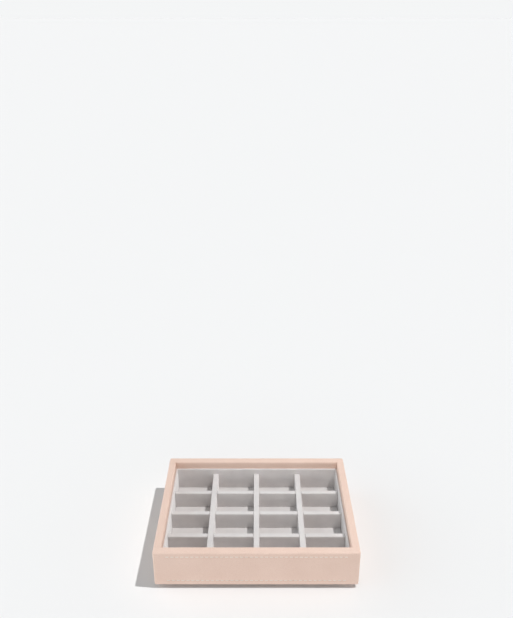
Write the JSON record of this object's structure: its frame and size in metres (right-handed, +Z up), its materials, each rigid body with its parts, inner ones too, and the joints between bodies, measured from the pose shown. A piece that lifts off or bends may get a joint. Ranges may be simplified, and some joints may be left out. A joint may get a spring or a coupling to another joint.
{
  "type": "jewelry tray",
  "caption": "Shallow rectangular tray with leathercloth walls, topstitched edges and a velvet-lined grid of small compartments, on an inset stacking plinth.",
  "frame": {"origin": "middle of the plinth's underside, on the surface that the tray stands on", "axes": "+X to the right along the front wall, +Y from the front wall to the back wall, +Z up"},
  "size_m": [0.18, 0.125, 0.041],
  "materials": {
    "leathercloth": "fine-grained pale blush, satin",
    "velvet": "short-pile warm grey velvet",
    "thread": "twisted cream sewing thread",
    "fibreboard": "raw medium-density fibreboard",
    "card": "grey board"
  },
  "bodies": {
    "root": {"back_cover": "leathercloth", "back_liner_card": "card", "back_liner_velvet": "velvet", "back_stitching": "thread", "back_wall_board": "fibreboard", "base_board": "fibreboard", "cross_divider_1_core": "card", "cross_divider_1_velvet": "velvet", "cross_divider_2_core": "card", "cross_divider_2_velvet": "velvet", "cross_divider_3_core": "card", "cross_divider_3_velvet": "velvet", "floor_pad": "card", "floor_velvet": "velvet", "front_cover": "leathercloth", "front_liner_card": "card", "front_liner_velvet": "velvet", "front_stitching": "thread", "front_wall_board": "fibreboard", "left_cover": "leathercloth", "left_liner_card": "card", "left_liner_velvet": "velvet", "left_stitching": "thread", "left_wall_board": "fibreboard", "long_divider_1_core": "card", "long_divider_1_velvet": "velvet", "long_divider_2_core": "card", "long_divider_2_velvet": "velvet", "long_divider_3_core": "card", "long_divider_3_velvet": "velvet", "plinth_board": "fibreboard", "plinth_velvet": "velvet", "right_cover": "leathercloth", "right_liner_card": "card", "right_liner_velvet": "velvet", "right_stitching": "thread", "right_wall_board": "fibreboard"}
  },
  "joints": []
}
